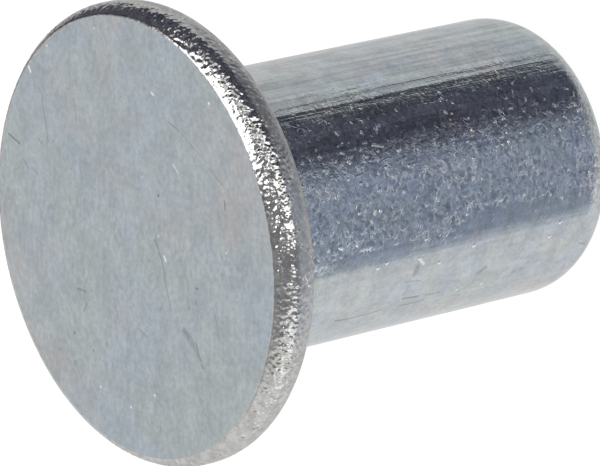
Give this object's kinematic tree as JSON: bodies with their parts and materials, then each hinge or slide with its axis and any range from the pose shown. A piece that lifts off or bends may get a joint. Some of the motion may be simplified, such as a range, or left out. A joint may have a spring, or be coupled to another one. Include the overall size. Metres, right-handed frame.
{
  "type": "flat head rivet",
  "caption": "Solid flat-head rivet in zinc-plated steel: a thin round head with a rounded rim on a plain cylindrical shank with a rounded tail.",
  "frame": {"origin": "centre of the tail's flat end face, on which the rivet stands", "axes": "+Z runs along the rivet's axis, from the tail up the shank to the flat face of the head; X and Y are free, because the rivet is round"},
  "size_m": [0.013, 0.013, 0.0142],
  "materials": {
    "zinc_plate": "bright zinc plating with a thin blue passivate, satin on the head's face, finely pitted along the shank"
  },
  "bodies": {
    "root": {"rivet": "zinc_plate"}
  },
  "joints": []
}
